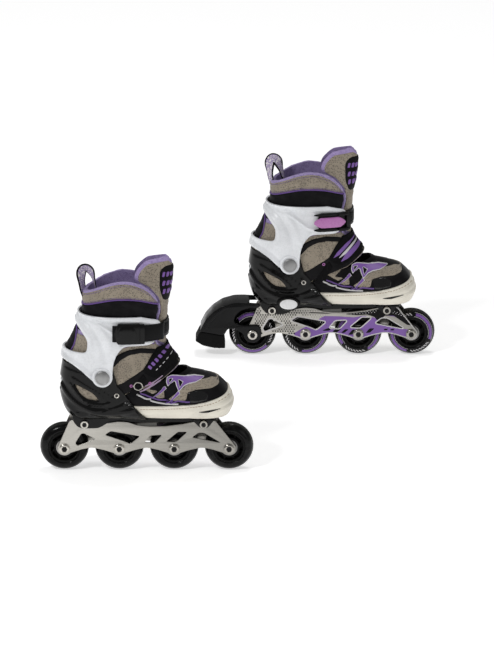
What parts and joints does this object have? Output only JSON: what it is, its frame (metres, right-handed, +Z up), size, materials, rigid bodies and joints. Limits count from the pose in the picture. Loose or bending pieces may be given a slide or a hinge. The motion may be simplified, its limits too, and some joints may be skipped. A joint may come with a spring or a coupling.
{
  "type": "inline skates",
  "caption": "Pair of children's size-adjustable inline skates with buckled cuffs, aluminium frames, urethane wheels and a heel brake.",
  "frame": {"origin": "on the floor, at the middle of the box round both skates", "axes": "+X towards the toes, +Z up, +Y from the left skate to the right skate"},
  "size_m": [0.528, 0.5944, 0.2975],
  "materials": {
    "frame_aluminium": "satin brushed sheet, printed on the outer side of the right skate",
    "bright_steel": "polished",
    "bearing_steel": "ground",
    "urethane": "smoky glossy urethane",
    "black_shell": "moulded, satin to glossy",
    "toe_rim": "smooth, scuffed",
    "vamp": "synthetic with printed panels",
    "liner_fabric": "spacer mesh",
    "tongue_fabric": "spacer mesh with padded edge",
    "white_cuff": "moulded",
    "rivet_grey": "satin",
    "black_buckle": "moulded, fine texture",
    "lilac_lever": "moulded",
    "black_strap": "ribbed",
    "black_webbing": "hook-and-loop strap",
    "white_button": "moulded",
    "brake_rubber": "worn at the heel"
  },
  "bodies": {
    "left_chassis": {"left_frame": "frame_aluminium", "left_frame_bolt_rear": "bright_steel", "left_frame_bolt_front": "bright_steel", "left_axle_1": "bright_steel", "left_axle_2": "bright_steel", "left_axle_3": "bright_steel", "left_axle_4": "bright_steel", "left_base_shell": "black_shell", "left_boot_liner": "liner_fabric", "left_instep_strap": "black_webbing", "left_cuff_pivot_outer": "rivet_grey", "left_cuff_pivot_inner": "rivet_grey"},
    "left_ankle": {"left_cuff": "white_cuff", "left_liner_collar": "liner_fabric", "left_tongue": "tongue_fabric", "left_buckle_base": "black_buckle", "left_cuff_strap": "black_strap"},
    "left_lever": {"left_buckle_lever": "lilac_lever"},
    "left_toe": {"left_toe_shell": "toe_rim", "left_toe_upper": "vamp"},
    "left_button": {"left_size_button": "white_button"},
    "left_rolling_1": {"left_wheel_1": "urethane", "left_bearing_set_1": "bearing_steel"},
    "left_rolling_2": {"left_wheel_2": "urethane", "left_bearing_set_2": "bearing_steel"},
    "left_rolling_3": {"left_wheel_3": "urethane", "left_bearing_set_3": "bearing_steel"},
    "left_rolling_4": {"left_wheel_4": "urethane", "left_bearing_set_4": "bearing_steel"},
    "right_chassis": {"right_frame": "frame_aluminium", "right_frame_bolt_rear": "bright_steel", "right_frame_bolt_front": "bright_steel", "right_axle_1": "bright_steel", "right_axle_2": "bright_steel", "right_axle_3": "bright_steel", "right_axle_4": "bright_steel", "right_base_shell": "black_shell", "right_boot_liner": "liner_fabric", "right_instep_strap": "black_webbing", "right_cuff_pivot_outer": "rivet_grey", "right_cuff_pivot_inner": "rivet_grey", "right_brake_arm": "black_shell", "right_brake_pad": "brake_rubber"},
    "right_ankle": {"right_cuff": "white_cuff", "right_liner_collar": "liner_fabric", "right_tongue": "tongue_fabric", "right_buckle_base": "black_buckle", "right_cuff_strap": "black_strap"},
    "right_lever": {"right_buckle_lever": "lilac_lever"},
    "right_toe": {"right_toe_shell": "toe_rim", "right_toe_upper": "vamp"},
    "right_button": {"right_size_button": "white_button"},
    "right_rolling_1": {"right_wheel_1": "urethane", "right_bearing_set_1": "bearing_steel"},
    "right_rolling_2": {"right_wheel_2": "urethane", "right_bearing_set_2": "bearing_steel"},
    "right_rolling_3": {"right_wheel_3": "urethane", "right_bearing_set_3": "bearing_steel"},
    "right_rolling_4": {"right_wheel_4": "urethane", "right_bearing_set_4": "bearing_steel"}
  },
  "joints": [
    {"name": "buckle_lever_left", "type": "hinge", "parent": "left_ankle", "child": "left_lever", "pos_m": [-0.105, -0.2137, 0.198], "axis": [0, 0, -1], "range_deg": [0, 100]},
    {"name": "cuff_flex_left", "type": "hinge", "parent": "left_chassis", "child": "left_ankle", "pos_m": [-0.181, -0.25, 0.138], "axis": [0, 1, 0], "range_deg": [-3, 6.5], "stiffness_Nm_per_rad": 15},
    {"name": "extend_toe_left", "type": "slide", "parent": "left_chassis", "child": "left_toe", "axis": [1, 0, 0], "range_m": [0, 0.02]},
    {"name": "push_button_left", "type": "slide", "parent": "left_chassis", "child": "left_button", "axis": [0, -1, 0], "range_m": [0, 0.0024], "stiffness_N_per_m": 800},
    {"name": "wheel_1_left", "type": "hinge", "parent": "left_chassis", "child": "left_rolling_1", "pos_m": [-0.2315, -0.25, 0.032], "axis": [0, 1, 0], "continuous": true},
    {"name": "wheel_2_left", "type": "hinge", "parent": "left_chassis", "child": "left_rolling_2", "pos_m": [-0.1595, -0.25, 0.032], "axis": [0, 1, 0], "continuous": true},
    {"name": "wheel_3_left", "type": "hinge", "parent": "left_chassis", "child": "left_rolling_3", "pos_m": [-0.0875, -0.25, 0.032], "axis": [0, 1, 0], "continuous": true},
    {"name": "wheel_4_left", "type": "hinge", "parent": "left_chassis", "child": "left_rolling_4", "pos_m": [-0.0155, -0.25, 0.032], "axis": [0, 1, 0], "continuous": true},
    {"name": "buckle_lever_right", "type": "hinge", "parent": "right_ankle", "child": "right_lever", "pos_m": [0.142, 0.2137, 0.198], "axis": [0, 0, 1], "range_deg": [0, 100]},
    {"name": "cuff_flex_right", "type": "hinge", "parent": "right_chassis", "child": "right_ankle", "pos_m": [0.066, 0.25, 0.138], "axis": [0, 1, 0], "range_deg": [-3, 6.5], "stiffness_Nm_per_rad": 15},
    {"name": "extend_toe_right", "type": "slide", "parent": "right_chassis", "child": "right_toe", "axis": [1, 0, 0], "range_m": [0, 0.02]},
    {"name": "push_button_right", "type": "slide", "parent": "right_chassis", "child": "right_button", "axis": [0, 1, 0], "range_m": [0, 0.0024], "stiffness_N_per_m": 800},
    {"name": "wheel_1_right", "type": "hinge", "parent": "right_chassis", "child": "right_rolling_1", "pos_m": [0.0155, 0.25, 0.032], "axis": [0, 1, 0], "continuous": true},
    {"name": "wheel_2_right", "type": "hinge", "parent": "right_chassis", "child": "right_rolling_2", "pos_m": [0.0875, 0.25, 0.032], "axis": [0, 1, 0], "continuous": true},
    {"name": "wheel_3_right", "type": "hinge", "parent": "right_chassis", "child": "right_rolling_3", "pos_m": [0.1595, 0.25, 0.032], "axis": [0, 1, 0], "continuous": true},
    {"name": "wheel_4_right", "type": "hinge", "parent": "right_chassis", "child": "right_rolling_4", "pos_m": [0.2315, 0.25, 0.032], "axis": [0, 1, 0], "continuous": true},
    {"name": "pair_slide", "type": "slide", "parent": "left_chassis", "child": "right_chassis", "axis": [1, 0, 0], "range_m": [-0.247, 0.1]}
  ]
}
